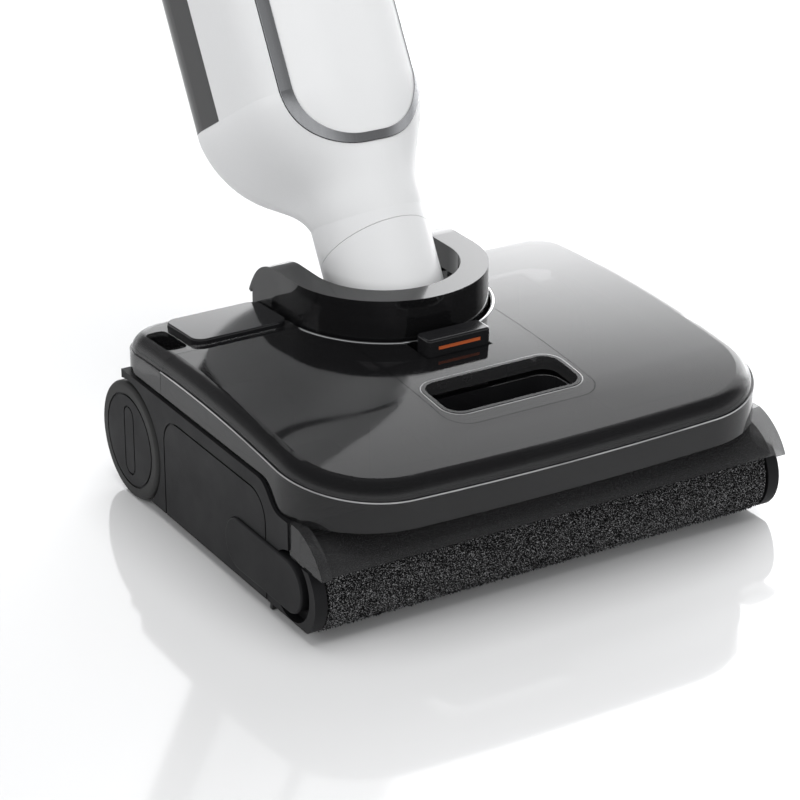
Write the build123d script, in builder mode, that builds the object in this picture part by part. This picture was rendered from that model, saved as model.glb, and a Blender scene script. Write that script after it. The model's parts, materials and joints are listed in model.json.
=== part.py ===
"""Cordless wet dry floor scrubber: floor head with a driven roller, swivelling neck, body with two
water tanks, aluminium tube and grip.

Two drawing frames are used, both in millimetres.
  Head parts   X across, Y back from the roller's axis, Z up from the floor.
  Upper parts  drawn standing straight up, with the recline pivot at the origin and Z along the neck.
save() carries either one into the part's own frame: +Z up, the front facing -Y, and the origin on the
floor under the middle of the whole machine.
"""

import os
from math import cos, radians, sin

from build123d import *

os.makedirs("parts", exist_ok=True)

# ---- driving dimensions: floor head -------------------------------------------------------------
HALF_WIDTH = 143.0  # outer face of each side cheek
CHEEK_IN = 136.0  # inner face of each side cheek
COVER_HALF = 140.5
FLOOR_GAP = 5.0  # underside of the chassis above the floor
FRONT_Y, REAR_Y = -29.0, 200.0  # front and rear faces of the cover
ROLLER_Z, ROLLER_R, ROLLER_HALF = 24.0, 24.0, 134.5
CORE_R, CORE_IN = 17.0, 12.5  # roller tube under the pile
SHELF_Z, SKIRT_Z = 73.0, 60.0  # lower edge of the cover at the sides and over the roller
NOSE_Y, NOSE_Z, NOSE_R = 3.0, 25.0, 35.5  # rounded end plates of the roller shield
SHIELD_Z = 41.0  # lower edge of the roller shield
CHEEK_NOSE_R = 23.0  # front end of each cheek, round the roller's axis
WALL = 2.2
GAP = 0.3  # clearance between parts that come apart
RUNNING = 0.05  # radial clearance of a running fit
WHEEL_R, WHEEL_Y, WHEEL_IN, WHEEL_OUT = 33.5, 181.0, 124.0, 144.0
HUB_R, AXLE_R = 27.0, 4.0
WELL_X = 121.0  # the chassis floor is cut away beyond this, for the wheels

# ---- driving dimensions: collar and neck --------------------------------------------------------
COLLAR_Y, COLLAR_R, COLLAR_IN = 152.0, 57.5, 42.0
COLLAR_LIP = 104.0  # lower edge of the collar's inner wall
COLLAR_TOP, FLANGE = 119.0, 3.0
PIVOT_Y, PIVOT_Z, PIN_R = 142.0, 90.0, 6.0
LEAN = 30.0  # the neck leans back this far from upright
NECK_R, NECK_BORE = 32.0, 28.5
SEAM_Z, SEAM_TILT = 38.3, 19.5  # where the swivel seam crosses the neck's axis, and its slant

# ---- driving dimensions: body -------------------------------------------------------------------
SHELL = 2.0
DOME_TOP, BODY_TOP = 130.0, 527.0
BODY_HALF, BODY_FRONT, BODY_BACK, BODY_R = 52.0, -34.0, 105.0, 40.0
TANK_Y, TANK_FOOT, TANK_TOP = 42.0, 130.0, 450.0  # clean water tank at the back
DOOR_HALF, DOOR_FOOT, DOOR_TOP, DOOR_BACK = 42.5, 93.0, 409.0, 14.0  # dirty water tank in front
TRIM = 5.0
TUBE_R, TUBE_Y, TUBE_TOP = 14.0, 36.0, 862.0
GRIP_TOP = 985.0

# ---- the part's own frame -----------------------------------------------------------------------
ORIGIN_Y = 318.0  # the origin lies this far behind the roller's axis
HEAD = Location((0, -ORIGIN_Y, 0))
UPPER = HEAD * Location((0, PIVOT_Y, PIVOT_Z)) * Location((0, 0, 0), (-LEAN, 0, 0))


def save(part, name, frame=HEAD):
    """Moves a finished piece into the part's own frame and writes it."""
    placed = part.moved(frame)
    placed.label = name
    export_step(placed, f"parts/{name}.step")
    print(f"{name:20s} {len(placed.solids())} solids {placed.volume / 1000:8.1f} cm3")


def side(x=0.0):
    """Side-view plane at x: its drawing runs back and up, and extrudes towards +X."""
    return Plane.YZ.offset(x)


def block(x0, x1, y0, y1, z0, z1, corner=0.0):
    """Block between two corners, its upright edges rounded."""
    with BuildPart() as made:
        with BuildSketch(Plane.XY.offset(z0)):
            with Locations(((x0 + x1) / 2, (y0 + y1) / 2)):
                if corner:
                    RectangleRounded(x1 - x0, y1 - y0, corner)
                else:
                    Rectangle(x1 - x0, y1 - y0)
        extrude(amount=z1 - z0)
    return made.part


def rod(x0, x1, y, z, radius, bore=0.0):
    """Round bar or tube lying across the machine."""
    with BuildPart() as made:
        with BuildSketch(side(x0)):
            with Locations((y, z)):
                Circle(radius)
                if bore:
                    Circle(bore, mode=Mode.SUBTRACT)
        extrude(amount=x1 - x0)
    return made.part


def post(x, y, z0, z1, radius, bore=0.0):
    """Upright round bar or tube."""
    with BuildPart() as made:
        with BuildSketch(Plane.XY.offset(z0)):
            with Locations((x, y)):
                Circle(radius)
                if bore:
                    Circle(bore, mode=Mode.SUBTRACT)
        extrude(amount=z1 - z0)
    return made.part


# =================================================================================================
# Cover: one crowned outer form, cut into the pieces that share it
# =================================================================================================
def crown(inset, edge=True, drop=0.0):
    """Solid under the head's crowned top, drawn in by inset on every side and lowered by drop."""
    half, front, rear, bulge = COVER_HALF - inset, FRONT_Y + inset, REAR_Y - inset, 6.0
    with BuildPart() as made:
        with BuildSketch(Plane.XY.offset(SKIRT_Z - 10)):
            with BuildLine():
                ThreePointArc((-half, front), (0, front - bulge), (half, front))
                Polyline((half, front), (half, rear), (-half, rear), (-half, front))
            make_face()
            fillet(vertices().group_by(Axis.Y)[0], 52 - inset)
            fillet(vertices().group_by(Axis.Y)[-1], 24 - inset)
        extrude(amount=60)
        with BuildSketch(side()):
            with BuildLine():
                fall = inset + drop
                ThreePointArc((-60, 79 - fall), (90, 95.5 - fall), (230, 89 - fall))
                Polyline((230, 89 - fall), (230, 40), (-60, 40), (-60, 79 - fall))
            make_face()
        extrude(amount=200, both=True, mode=Mode.INTERSECT)
        if edge:
            fillet(made.faces().sort_by(Axis.Z)[-1].edges(), 9.5 - inset)
    return made.part


def keyhole(radius, z0=40.0, z1=140.0, rear=230.0):
    """Circle round the neck with a slot to the back, for the collar and the hole it stands in."""
    with BuildPart() as made:
        with BuildSketch(Plane.XY.offset(z0)):
            with Locations((0, COLLAR_Y)):
                Circle(radius)
            with Locations((0, (COLLAR_Y + rear) / 2)):
                Rectangle(2 * radius, rear - COLLAR_Y)
        extrude(amount=z1 - z0)
    return made.part


PANEL_HALF, PANEL_FRONT, PANEL_CORNER = 46.0, 3.0, 14.0
WINDOW_HALF, WINDOW_FRONT, WINDOW_REAR, WINDOW_CORNER = 42.5, 13.0, 50.0, 11.0
BUTTON_HALF, BUTTON_FRONT, BUTTON_REAR, BUTTON_TOP = 19.5, 73.0, 86.0, 104.5
DECK_FRONT, COLLAR_GAP = 145.0, 1.5
BELT, BELT_DROP = 0.9, 9.0  # the skirt stands proud of the crown, and starts this far below it

outer_form = crown(0)
inner_form = crown(WALL)


def shelf(drop=0.0):
    """Everything below the cover's lower edge, which steps down over the roller."""
    low, high = SKIRT_Z - drop, SHELF_Z - drop
    with BuildPart() as made:
        with BuildSketch(side()):
            with BuildLine():
                Polyline((260, high), (260, -5), (-90, -5), (-90, low), (12, low))
                Spline((12, low), (24, (low + high) / 2), (36, high), tangents=((1, 0), (1, 0)))
                Line((36, high), (260, high))
            make_face()
        extrude(amount=200, both=True)
    return made.part


below_cover = shelf()

with BuildPart() as crust:
    add(outer_form)
    add(crown(-BELT, edge=False, drop=BELT_DROP))
    add(inner_form, mode=Mode.SUBTRACT)
    add(below_cover, mode=Mode.SUBTRACT)
    add(keyhole(COLLAR_R + COLLAR_GAP), mode=Mode.SUBTRACT)

window_hole = block(
    -WINDOW_HALF, WINDOW_HALF, WINDOW_FRONT, WINDOW_REAR, 50, 120, WINDOW_CORNER
)
button_notch = block(
    -BUTTON_HALF - 0.8, BUTTON_HALF + 0.8, BUTTON_FRONT - 0.8, 110, 50, 120
)
deck_zone = block(-160, -COLLAR_R - COLLAR_GAP, DECK_FRONT, 240, 40, 130)
deck_body = block(-160, -COLLAR_R - COLLAR_GAP, DECK_FRONT + GAP, 240, 40, 130)

with BuildPart() as top_cover:
    add(crust.part)
    add(deck_zone, mode=Mode.SUBTRACT)
    add(block(-PANEL_HALF, PANEL_HALF, PANEL_FRONT, 150, 40, 130, PANEL_CORNER), mode=Mode.SUBTRACT)
save(top_cover.part, "top_cover")

with BuildPart() as latch_panel:
    add(crust.part)
    add(
        block(
            -PANEL_HALF + GAP, PANEL_HALF - GAP, PANEL_FRONT + GAP, 150, 40, 130, PANEL_CORNER - GAP
        ),
        mode=Mode.INTERSECT,
    )
    add(window_hole, mode=Mode.SUBTRACT)
    add(button_notch, mode=Mode.SUBTRACT)
save(latch_panel.part, "latch_panel")

with BuildPart() as window_lip:
    add(crown(-0.5, edge=False))
    add(crown(7, edge=False), mode=Mode.SUBTRACT)
    add(window_hole, mode=Mode.INTERSECT)
    add(
        block(-WINDOW_HALF + 2, WINDOW_HALF - 2, WINDOW_FRONT + 2, WINDOW_REAR - 2, 50, 120, 9),
        mode=Mode.SUBTRACT,
    )
save(window_lip.part, "window_lip")

with BuildPart() as rear_deck:
    add(crust.part)
    add(deck_body, mode=Mode.INTERSECT)
    add(block(-135, -119, 149, 183, 79, 91, 5))
    add(block(-133, -121, 151, 181, 81, 120, 4), mode=Mode.SUBTRACT)
save(rear_deck.part, "rear_deck")

with BuildPart() as label_plate:
    add(block(-118, -61, 149, 188, 80, 110, 7))
    add(crown(-3, edge=False), mode=Mode.INTERSECT)
    fillet(label_plate.faces().sort_by(Axis.Z)[-1].edges(), 1)
    add(crown(0, edge=False), mode=Mode.SUBTRACT)
save(label_plate.part, "label_plate")

with BuildPart() as roller_shield:
    with BuildSketch(side(-CHEEK_IN)):
        with Locations((0, ROLLER_Z)):
            Circle(31.5)
            Circle(29, mode=Mode.SUBTRACT)
        with Locations((0, SHIELD_Z - 50)):
            Rectangle(120, 100, mode=Mode.SUBTRACT)
        with Locations((60, 0)):
            Rectangle(112, 160, mode=Mode.SUBTRACT)
    extrude(amount=2 * CHEEK_IN)
    for x0 in (-HALF_WIDTH + 1, CHEEK_IN):
        with BuildSketch(side(x0)):
            with Locations((NOSE_Y, NOSE_Z)):
                Circle(NOSE_R)
            with Locations((0, SHIELD_Z - 50)):
                Rectangle(120, 100, mode=Mode.SUBTRACT)
            with Locations((64, 0)):
                Rectangle(120, 160, mode=Mode.SUBTRACT)
        extrude(amount=HALF_WIDTH - 1 - CHEEK_IN)
    add(shelf(GAP), mode=Mode.INTERSECT)
save(roller_shield.part, "roller_shield")

# =================================================================================================
# Side cheeks
# =================================================================================================
CAP_FRONT, CAP_REAR, CAP_R, CAP_Z = 3.0, 55.0, 14.5, 25.5  # obround roller cap in the left cheek


def obround(y0, y1, z, radius, x0, x1):
    """Bar across the machine with a round-ended outline between two centres."""
    with BuildPart() as made:
        with BuildSketch(side(x0)):
            with Locations(((y0 + y1) / 2, z)):
                SlotOverall(y1 - y0 + 2 * radius, 2 * radius)
        extrude(amount=x1 - x0)
    return made.part


def cheek():
    """Left cheek: rounded nose, level top, cut clear of the wheel, with a shallow styling groove."""
    with BuildPart() as made:
        with BuildSketch(side(-HALF_WIDTH)):
            with Locations((0, ROLLER_Z)):
                Circle(CHEEK_NOSE_R)
            with Locations(((4 + 190) / 2, SHELF_Z / 2)):
                Rectangle(190 - 4, SHELF_Z)
            with Locations((4 + GAP - 60, SHIELD_Z - GAP + 50)):
                Rectangle(120, 100, mode=Mode.SUBTRACT)
            with Locations((WHEEL_Y, WHEEL_R)):
                Circle(WHEEL_R + 1.8, mode=Mode.SUBTRACT)
            with Locations((60, FLOOR_GAP - 29)):
                Rectangle(400, 60, mode=Mode.SUBTRACT)
            with Locations((WHEEL_Y + 20, 10)):
                Rectangle(60, 60, mode=Mode.SUBTRACT)
        extrude(amount=HALF_WIDTH - CHEEK_IN)
        add(shelf(GAP), mode=Mode.INTERSECT)
        with BuildSketch(side(-HALF_WIDTH)):
            for reach in (0, 1.1):
                with Locations((84, 20)):
                    RectangleRounded(
                        114 - 2 * reach, 90 - 2 * reach, 16 - reach, mode=Mode.SUBTRACT if reach else Mode.ADD
                    )
        extrude(amount=0.8, mode=Mode.SUBTRACT)
    return made.part


with BuildPart() as left_cheek:
    add(cheek())
    add(obround(CAP_FRONT, CAP_REAR, CAP_Z, CAP_R + GAP, -150, -130), mode=Mode.SUBTRACT)
    add(rod(-150, -CHEEK_IN - 1.5, CAP_FRONT - 1, CAP_Z, CAP_R + 4.5), mode=Mode.SUBTRACT)
save(left_cheek.part, "left_cheek")

with BuildPart() as right_cheek:
    add(cheek().mirror(Plane.YZ))
save(right_cheek.part, "right_cheek")

# =================================================================================================
# Chassis
# =================================================================================================
CHAMBER_R, CHAMBER_OUT = 28.0, 30.5
FLOOR_TOP = 8.0
WELL_HALF, WELL_FLOOR, WELL_FRONT = 41.0, 52.0, 96.0  # open well in which the neck leans back
EAR_IN, EAR_OUT = 33.5, 39.8  # brackets that hold the pivot pins
SPRING_FOOT = 74.0  # ledge under the release button's springs


with BuildPart() as base_chassis:
    with BuildSketch(side(-CHEEK_IN)):
        with Locations((0, ROLLER_Z)):
            Circle(CHAMBER_OUT)
            Circle(CHAMBER_R, mode=Mode.SUBTRACT)
        with Locations((-42, ROLLER_Z)):
            Rectangle(100, 80, mode=Mode.SUBTRACT)
        with Locations((20, ROLLER_Z - 40)):
            Rectangle(80, 80, mode=Mode.SUBTRACT)
        with Locations(((CHAMBER_R + CHAMBER_OUT) / 2, (FLOOR_GAP + ROLLER_Z) / 2)):
            Rectangle(CHAMBER_OUT - CHAMBER_R, ROLLER_Z - FLOOR_GAP)
        with Locations(((CHAMBER_R + 194) / 2, (FLOOR_GAP + FLOOR_TOP) / 2)):
            Rectangle(194 - CHAMBER_R, FLOOR_TOP - FLOOR_GAP)
    extrude(amount=2 * CHEEK_IN)
    add(block(-115, 115, 191.5, 194, FLOOR_TOP, SHELF_Z - GAP))
    for sign in (-1, 1):
        outer, inner = sorted((sign * 116, sign * 118.5))
        add(block(outer, inner, 140, 194, FLOOR_TOP, SHELF_Z - GAP))
        outer, inner = sorted((sign * WELL_HALF, sign * (WELL_HALF + 2.5)))
        add(block(outer, inner, WELL_FRONT, 194, FLOOR_TOP, 84))
    add(block(-WELL_HALF, WELL_HALF, WELL_FRONT, 191.5, WELL_FLOOR - 2.5, WELL_FLOOR))
    add(block(-WELL_HALF - 2.5, WELL_HALF + 2.5, WELL_FRONT - 2.5, WELL_FRONT, FLOOR_TOP, 84))
    add(block(-16, 16, BUTTON_FRONT - 4, WELL_FRONT - 2.5, SPRING_FOOT - 2.5, SPRING_FOOT))
    for x0 in (-150, WELL_X):
        add(block(x0, x0 + 29, 152, 230, 0, FLOOR_TOP + 5), mode=Mode.SUBTRACT)
    add(block(-WELL_HALF, WELL_HALF, 120, 200, WELL_FLOOR, 120), mode=Mode.SUBTRACT)
    add(rod(-130, 130, WHEEL_Y, WHEEL_R, AXLE_R), mode=Mode.SUBTRACT)
save(base_chassis.part, "base_chassis")

with BuildPart() as pivot_brackets:
    for sign in (-1, 1):
        x0, x1 = sorted((sign * EAR_IN, sign * EAR_OUT))
        with BuildSketch(side(x0)):
            with Locations((PIVOT_Y, PIVOT_Z)):
                Circle(13)
            with Locations((PIVOT_Y, (PIVOT_Z + WELL_FLOOR) / 2)):
                Rectangle(26, PIVOT_Z - WELL_FLOOR)
            with Locations((PIVOT_Y, PIVOT_Z)):
                Circle(PIN_R, mode=Mode.SUBTRACT)
        extrude(amount=x1 - x0)
save(pivot_brackets.part, "pivot_brackets")

with BuildPart() as pivot_pins:
    for x0 in (-EAR_OUT, 22):
        add(rod(x0, x0 + EAR_OUT - 22, PIVOT_Y, PIVOT_Z, PIN_R))
save(pivot_pins.part, "pivot_pins")

with BuildPart() as ballast_plates:
    with BuildSketch(Plane.XY.offset(FLOOR_TOP)):
        with Locations((-70, 67), (70, 67)):
            RectangleRounded(84, 50, 6)
    extrude(amount=8)
save(ballast_plates.part, "ballast_plates")

with BuildPart() as collar:
    add(keyhole(COLLAR_R, 84, COLLAR_TOP - FLANGE, REAR_Y - 2))
    add(keyhole(COLLAR_R - WALL, 83, COLLAR_TOP - FLANGE, REAR_Y - 2 - WALL), mode=Mode.SUBTRACT)
    add(keyhole(COLLAR_IN, 80, 130, REAR_Y + 10), mode=Mode.SUBTRACT)
    with BuildSketch(side(-80)) as slope:
        with BuildLine():
            Polyline((170, 140), (170, COLLAR_TOP - FLANGE))
            Spline((170, COLLAR_TOP - FLANGE), (186, 112), (REAR_Y, 96), tangents=((1, 0), (0.5, -1)))
            Polyline((REAR_Y, 96), (REAR_Y + 20, 96), (REAR_Y + 20, 140), (170, 140))
        make_face()
    extrude(amount=160, mode=Mode.SUBTRACT)
save(collar.part, "collar")

with BuildPart() as collar_flange:
    with BuildSketch(side(-COLLAR_R)):
        with BuildLine():
            Polyline((80, COLLAR_TOP - FLANGE), (80, COLLAR_TOP), (170, COLLAR_TOP))
            Spline(
                (170, COLLAR_TOP), (188, 114.5), (REAR_Y + 2, 97), tangents=((1, 0), (0.5, -1))
            )
            Line((REAR_Y + 2, 97), (REAR_Y, 96))
            Spline(
                (REAR_Y, 96), (186, 112), (170, COLLAR_TOP - FLANGE), tangents=((-0.5, 1), (-1, 0))
            )
            Line((170, COLLAR_TOP - FLANGE), (80, COLLAR_TOP - FLANGE))
        make_face()
    extrude(amount=2 * COLLAR_R)
    add(keyhole(COLLAR_R, 60, 140, REAR_Y + 10), mode=Mode.INTERSECT)
    add(keyhole(COLLAR_IN + WALL, COLLAR_LIP, COLLAR_TOP - FLANGE, 176))
    add(keyhole(COLLAR_IN, 60, 140, REAR_Y + 20), mode=Mode.SUBTRACT)
save(collar_flange.part, "collar_flange")

# =================================================================================================
# Cleaning works: duct, spray bar, scraper, squeegee
# =================================================================================================
with BuildPart() as suction_duct:
    with BuildSketch(side(-24)):
        with BuildLine():
            Polyline((31, 12), (60, 15), (96, 40), (118, WELL_FLOOR - 3), (90, WELL_FLOOR - 3), (60, 44), (31, 30))
            Line((31, 30), (31, 12))
        make_face()
    extrude(amount=48)
    with BuildSketch(side(-21.5)):
        with BuildLine():
            Polyline((29, 14.5), (59, 17.5), (93, 41), (108, WELL_FLOOR), (94, WELL_FLOOR), (61, 41.5), (29, 27.5))
            Line((29, 27.5), (29, 14.5))
        make_face()
    extrude(amount=43, mode=Mode.SUBTRACT)
    add(block(-30, 30, WELL_FRONT - 2.6, 130, 0, WELL_FLOOR), mode=Mode.SUBTRACT)
    add(block(-30, 30, 0, 31, 0, 60), mode=Mode.SUBTRACT)
    add(block(-20, 20, 39, 51, FLOOR_TOP, 14.2))
save(suction_duct.part, "suction_duct")

save(rod(-128, 128, 39, 50, 4, 2.5), "spray_bar")
save(block(-130, 130, 18.3, 22, 40.2, 41.2), "scraper_blade")
save(block(-141, 141, 25.5, 27.8, 0.6, FLOOR_GAP), "rear_squeegee")

with BuildPart() as base_screws:
    for x, y in ((-105, 50), (105, 50), (-105, 84), (105, 84), (-40, 84), (40, 84)):
        add(post(x, y, FLOOR_TOP + 8, FLOOR_TOP + 10, 3.4))
save(base_screws.part, "base_screws")

save(block(-104, -50, 98, 128, FLOOR_TOP, 34, 3), "roller_driver")
save(block(50, 104, 98, 140, FLOOR_TOP, 40, 3), "water_valve")

# =================================================================================================
# Roller, its motor and its end cap
# =================================================================================================
MOTOR_R, MOTOR_X0 = 11.6, 36.0
save(rod(-ROLLER_HALF, ROLLER_HALF, 0, ROLLER_Z, ROLLER_R, CORE_R), "roller_pile")
with BuildPart() as roller_core:
    add(rod(-130, 134, 0, ROLLER_Z, CORE_R, CORE_IN))
    add(rod(-130, -127, 0, ROLLER_Z, CORE_IN))
    add(rod(-131, -126, 0, ROLLER_Z, 4 + RUNNING), mode=Mode.SUBTRACT)
save(roller_core.part, "roller_core")
with BuildPart() as drive_hub:
    add(rod(20, 27, 0, ROLLER_Z, CORE_IN))
    add(rod(27, 34, 0, ROLLER_Z, 3))
save(drive_hub.part, "drive_hub")
with BuildPart() as roller_motor:
    add(rod(MOTOR_X0, CHEEK_IN, 0, ROLLER_Z, MOTOR_R))
    add(rod(MOTOR_X0 + 3, 120, 0, ROLLER_Z, MOTOR_R - 1.6), mode=Mode.SUBTRACT)
    add(rod(30, 120, 0, ROLLER_Z, 3.2), mode=Mode.SUBTRACT)
save(roller_motor.part, "roller_motor")
save(rod(44, 114, 0, ROLLER_Z, 8.5), "motor_armature")

with BuildPart() as roller_cap:
    add(obround(CAP_FRONT, CAP_REAR, CAP_Z, CAP_R, -HALF_WIDTH - 1.5, -CHEEK_IN))
    fillet(faces().sort_by(Axis.X)[0].edges(), 1.2)
    add(rod(-CHEEK_IN, -121, 0, ROLLER_Z, 4))
save(roller_cap.part, "roller_cap")

# =================================================================================================
# Wheels
# =================================================================================================
def wheel():
    """Left rear wheel's disc: a ring groove near its rim and an obround groove across its face."""
    with BuildPart() as made:
        add(rod(-WHEEL_OUT, -WHEEL_IN, WHEEL_Y, WHEEL_R, HUB_R))
        add(rod(-150, -WHEEL_OUT + 0.8, WHEEL_Y, WHEEL_R, HUB_R, HUB_R - 1.2), mode=Mode.SUBTRACT)
        with BuildSketch(side(-WHEEL_OUT - 1)):
            with Locations(Location((WHEEL_Y, WHEEL_R), 90)):
                SlotOverall(41, 12)
                SlotOverall(39, 10, mode=Mode.SUBTRACT)
        extrude(amount=1.9, mode=Mode.SUBTRACT)
        add(rod(-WHEEL_OUT + 7, -WHEEL_IN + 1, WHEEL_Y, WHEEL_R, AXLE_R + RUNNING), mode=Mode.SUBTRACT)
    return made.part


def tyre():
    """Left rear tyre: a rubber band with rounded shoulders."""
    with BuildPart() as made:
        add(rod(-WHEEL_OUT, -WHEEL_IN, WHEEL_Y, WHEEL_R, WHEEL_R))
        fillet(made.edges().filter_by(GeomType.CIRCLE), 2.5)
        add(rod(-150, -100, WHEEL_Y, WHEEL_R, HUB_R), mode=Mode.SUBTRACT)
    return made.part


for hand, name in ((False, "left"), (True, "right")):
    disc, band = wheel(), tyre()
    save(disc.mirror(Plane.YZ) if hand else disc, f"{name}_wheel")
    save(band.mirror(Plane.YZ) if hand else band, f"{name}_tyre")

with BuildPart() as wheel_axles:
    add(rod(-WHEEL_OUT + 7.5, -102, WHEEL_Y, WHEEL_R, AXLE_R))
    add(rod(102, WHEEL_OUT - 7.5, WHEEL_Y, WHEEL_R, AXLE_R))
save(wheel_axles.part, "wheel_axles")
with BuildPart() as wheel_drives:
    for x0 in (-102, 60):
        add(rod(x0, x0 + 42, WHEEL_Y - 12, WHEEL_R, 22))
save(wheel_drives.part, "wheel_drives")

# =================================================================================================
# Cover release button
# =================================================================================================
with BuildPart() as release_button:
    add(block(-BUTTON_HALF, BUTTON_HALF, BUTTON_FRONT, BUTTON_REAR, 92.6, BUTTON_TOP, 2.5))
    fillet(release_button.faces().sort_by(Axis.Z)[-1].edges(), 1.2)
    add(block(-13, 13, BUTTON_FRONT - 1, BUTTON_FRONT + 1, 98.4, 100.4), mode=Mode.SUBTRACT)
    add(block(-12, 12, BUTTON_FRONT + 2, BUTTON_FRONT + 8, 86, 92.6))
save(release_button.part, "release_button")
save(block(-13, 13, BUTTON_FRONT + 0.2, BUTTON_FRONT + 1, 98.4, 100.4), "button_line")
with BuildPart() as button_springs:
    for x in (-8, 8):
        add(post(x, BUTTON_FRONT + 5, SPRING_FOOT, SPRING_FOOT + 8.5, 2.5, 1.5))
save(button_springs.part, "button_springs")

# =================================================================================================
# Lower neck and swivel, drawn upright about the recline pivot
# =================================================================================================
seam_plane = Plane((0, 0, SEAM_Z), x_dir=(1, 0, 0), z_dir=(0, sin(radians(SEAM_TILT)), cos(radians(SEAM_TILT))))
SWIVEL_BORE, SWIVEL_TUBE, SWIVEL_WALL = 20.0, 17.0, 4.0


def seam_disc(offset, depth, radius, bore=0.0):
    """Disc or ring parallel to the swivel seam, from offset upwards by depth."""
    with BuildPart() as made:
        with BuildSketch(seam_plane.offset(offset)):
            Circle(radius)
            if bore:
                Circle(bore, mode=Mode.SUBTRACT)
        extrude(amount=depth)
    return made.part


neck_column = post(0, 0, -60, 120, NECK_R)
with BuildPart() as neck_sleeve:
    add(post(0, 0, 0, 80, NECK_R))
    Sphere(NECK_R)
    add(post(0, 0, -60, 120, NECK_BORE), mode=Mode.SUBTRACT)
    with BuildPart(mode=Mode.PRIVATE) as bearing_wall:
        add(seam_disc(-SWIVEL_WALL, SWIVEL_WALL, 60, SWIVEL_BORE + RUNNING))
        add(neck_column, mode=Mode.INTERSECT)
    add(bearing_wall.part)
    add(seam_disc(0, 90, 90), mode=Mode.SUBTRACT)
    add(rod(-60, 60, 0, 0, 9), mode=Mode.SUBTRACT)
save(neck_sleeve.part, "neck_sleeve", UPPER)

with BuildPart() as pivot_bushes:
    for x0 in (-NECK_R - 1, 24):
        add(rod(x0, x0 + NECK_R - 23, 0, 0, 9, PIN_R + RUNNING))
save(pivot_bushes.part, "pivot_bushes", UPPER)

with BuildPart() as swivel_tube:
    add(seam_disc(-SWIVEL_WALL - 4, SWIVEL_WALL + 10, SWIVEL_BORE, SWIVEL_TUBE))
    add(seam_disc(-SWIVEL_WALL - 4, 3.7, 23, SWIVEL_TUBE))
save(swivel_tube.part, "swivel_tube", UPPER)


# =================================================================================================
# Body: neck, rounded bottom and straight upper part share one form
# =================================================================================================
def body_form(inset):
    """Solid inside the body's outer surface, drawn in by inset."""
    stations = (  # height, half width, front, back, corner radius
        (56.0, 32.0, -32.0, 32.0, 31.9),
        (70.0, 32.8, -32.2, 52.0, 32.2),
        (86.0, 38.0, -32.8, 86.0, 36.0),
        (108.0, 48.5, -33.6, 101.0, 40.0),
        (DOME_TOP, BODY_HALF, BODY_FRONT, BODY_BACK, BODY_R),
    )
    with BuildPart() as made:
        for height, half, front, back, corner in stations:
            with BuildSketch(Plane.XY.offset(height + (inset if height < 60 else 0))):
                with Locations((0, (front + back) / 2)):
                    RectangleRounded(2 * (half - inset), back - front - 2 * inset, corner - inset)
        loft()
        with BuildSketch(Plane.XY.offset(DOME_TOP)):
            with Locations((0, (BODY_FRONT + BODY_BACK) / 2)):
                RectangleRounded(
                    2 * (BODY_HALF - inset), BODY_BACK - BODY_FRONT - 2 * inset, BODY_R - inset
                )
        extrude(amount=BODY_TOP - DOME_TOP - inset)
        fillet(made.faces().sort_by(Axis.Z)[-1].edges(), 22 - inset)
    return made.part


def door_prism(grow, back):
    """Round-bottomed outline of the front tank, run from in front of the body to a plane inside it."""
    half, corner = DOOR_HALF + grow, DOOR_HALF + grow - 5.5
    with BuildPart() as made:
        with BuildSketch(Plane.XZ.offset(80)):
            with Locations((0, (DOOR_FOOT + DOOR_TOP) / 2)):
                RectangleRounded(2 * half, DOOR_TOP - DOOR_FOOT + 2 * grow, corner if corner < half else half - 1)
        extrude(amount=-80 - back)
    return made.part


body_outer = body_form(0)
body_inner = body_form(SHELL)
tank_zone = block(-80, 80, TANK_Y, 140, TANK_FOOT, TANK_TOP)

with BuildPart() as body_shell:
    add(body_outer)
    add(body_inner, mode=Mode.SUBTRACT)
    with BuildPart(mode=Mode.PRIVATE) as neck_stub:
        add(post(0, 0, 20, 62, NECK_R))
        add(post(0, 0, 10, 90, NECK_BORE), mode=Mode.SUBTRACT)
        with BuildPart(mode=Mode.PRIVATE) as stub_wall:
            add(seam_disc(GAP, 4, 60, SWIVEL_BORE))
            add(neck_column, mode=Mode.INTERSECT)
        add(stub_wall.part)
        add(seam_disc(-90, 90 + GAP, 120), mode=Mode.SUBTRACT)
    add(neck_stub.part)
    with BuildPart(mode=Mode.PRIVATE) as bulkhead:
        add(block(-80, 80, TANK_Y - 2, TANK_Y, TANK_FOOT - 2, TANK_TOP + 2))
        add(block(-80, 80, TANK_Y, 140, TANK_FOOT - 2, TANK_FOOT))
        add(block(-80, 80, TANK_Y, 140, TANK_TOP, TANK_TOP + 2))
        add(body_outer, mode=Mode.INTERSECT)
    add(bulkhead.part)
    add(tank_zone, mode=Mode.SUBTRACT)
    add(door_prism(GAP, DOOR_BACK + GAP), mode=Mode.SUBTRACT)
    add(block(-12.3, 12.3, BODY_FRONT - 9, BODY_FRONT + 9, 413.7, 424.3, 4.3), mode=Mode.SUBTRACT)
    add(block(-12.3, 12.3, BODY_BACK - 9, BODY_BACK + 9, 457.7, 468.3, 4.3), mode=Mode.SUBTRACT)
    add(block(-22, 22, -8, 14, BODY_TOP - 1, BODY_TOP + 4, 8), mode=Mode.SUBTRACT)
    add(post(0, TUBE_Y, 500, 560, TUBE_R), mode=Mode.SUBTRACT)
    add(seam_disc(-90, 90 + GAP, 120), mode=Mode.SUBTRACT)
save(body_shell.part, "body_shell", UPPER)

# =================================================================================================
# Dirty water tank with its trim, and clean water tank
# =================================================================================================
with BuildPart() as tank_trim:
    add(body_form(-0.6))
    add(body_form(2.4), mode=Mode.SUBTRACT)
    add(door_prism(0, -5), mode=Mode.INTERSECT)
    add(door_prism(-TRIM, 20), mode=Mode.SUBTRACT)
save(tank_trim.part, "tank_trim", UPPER)

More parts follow.
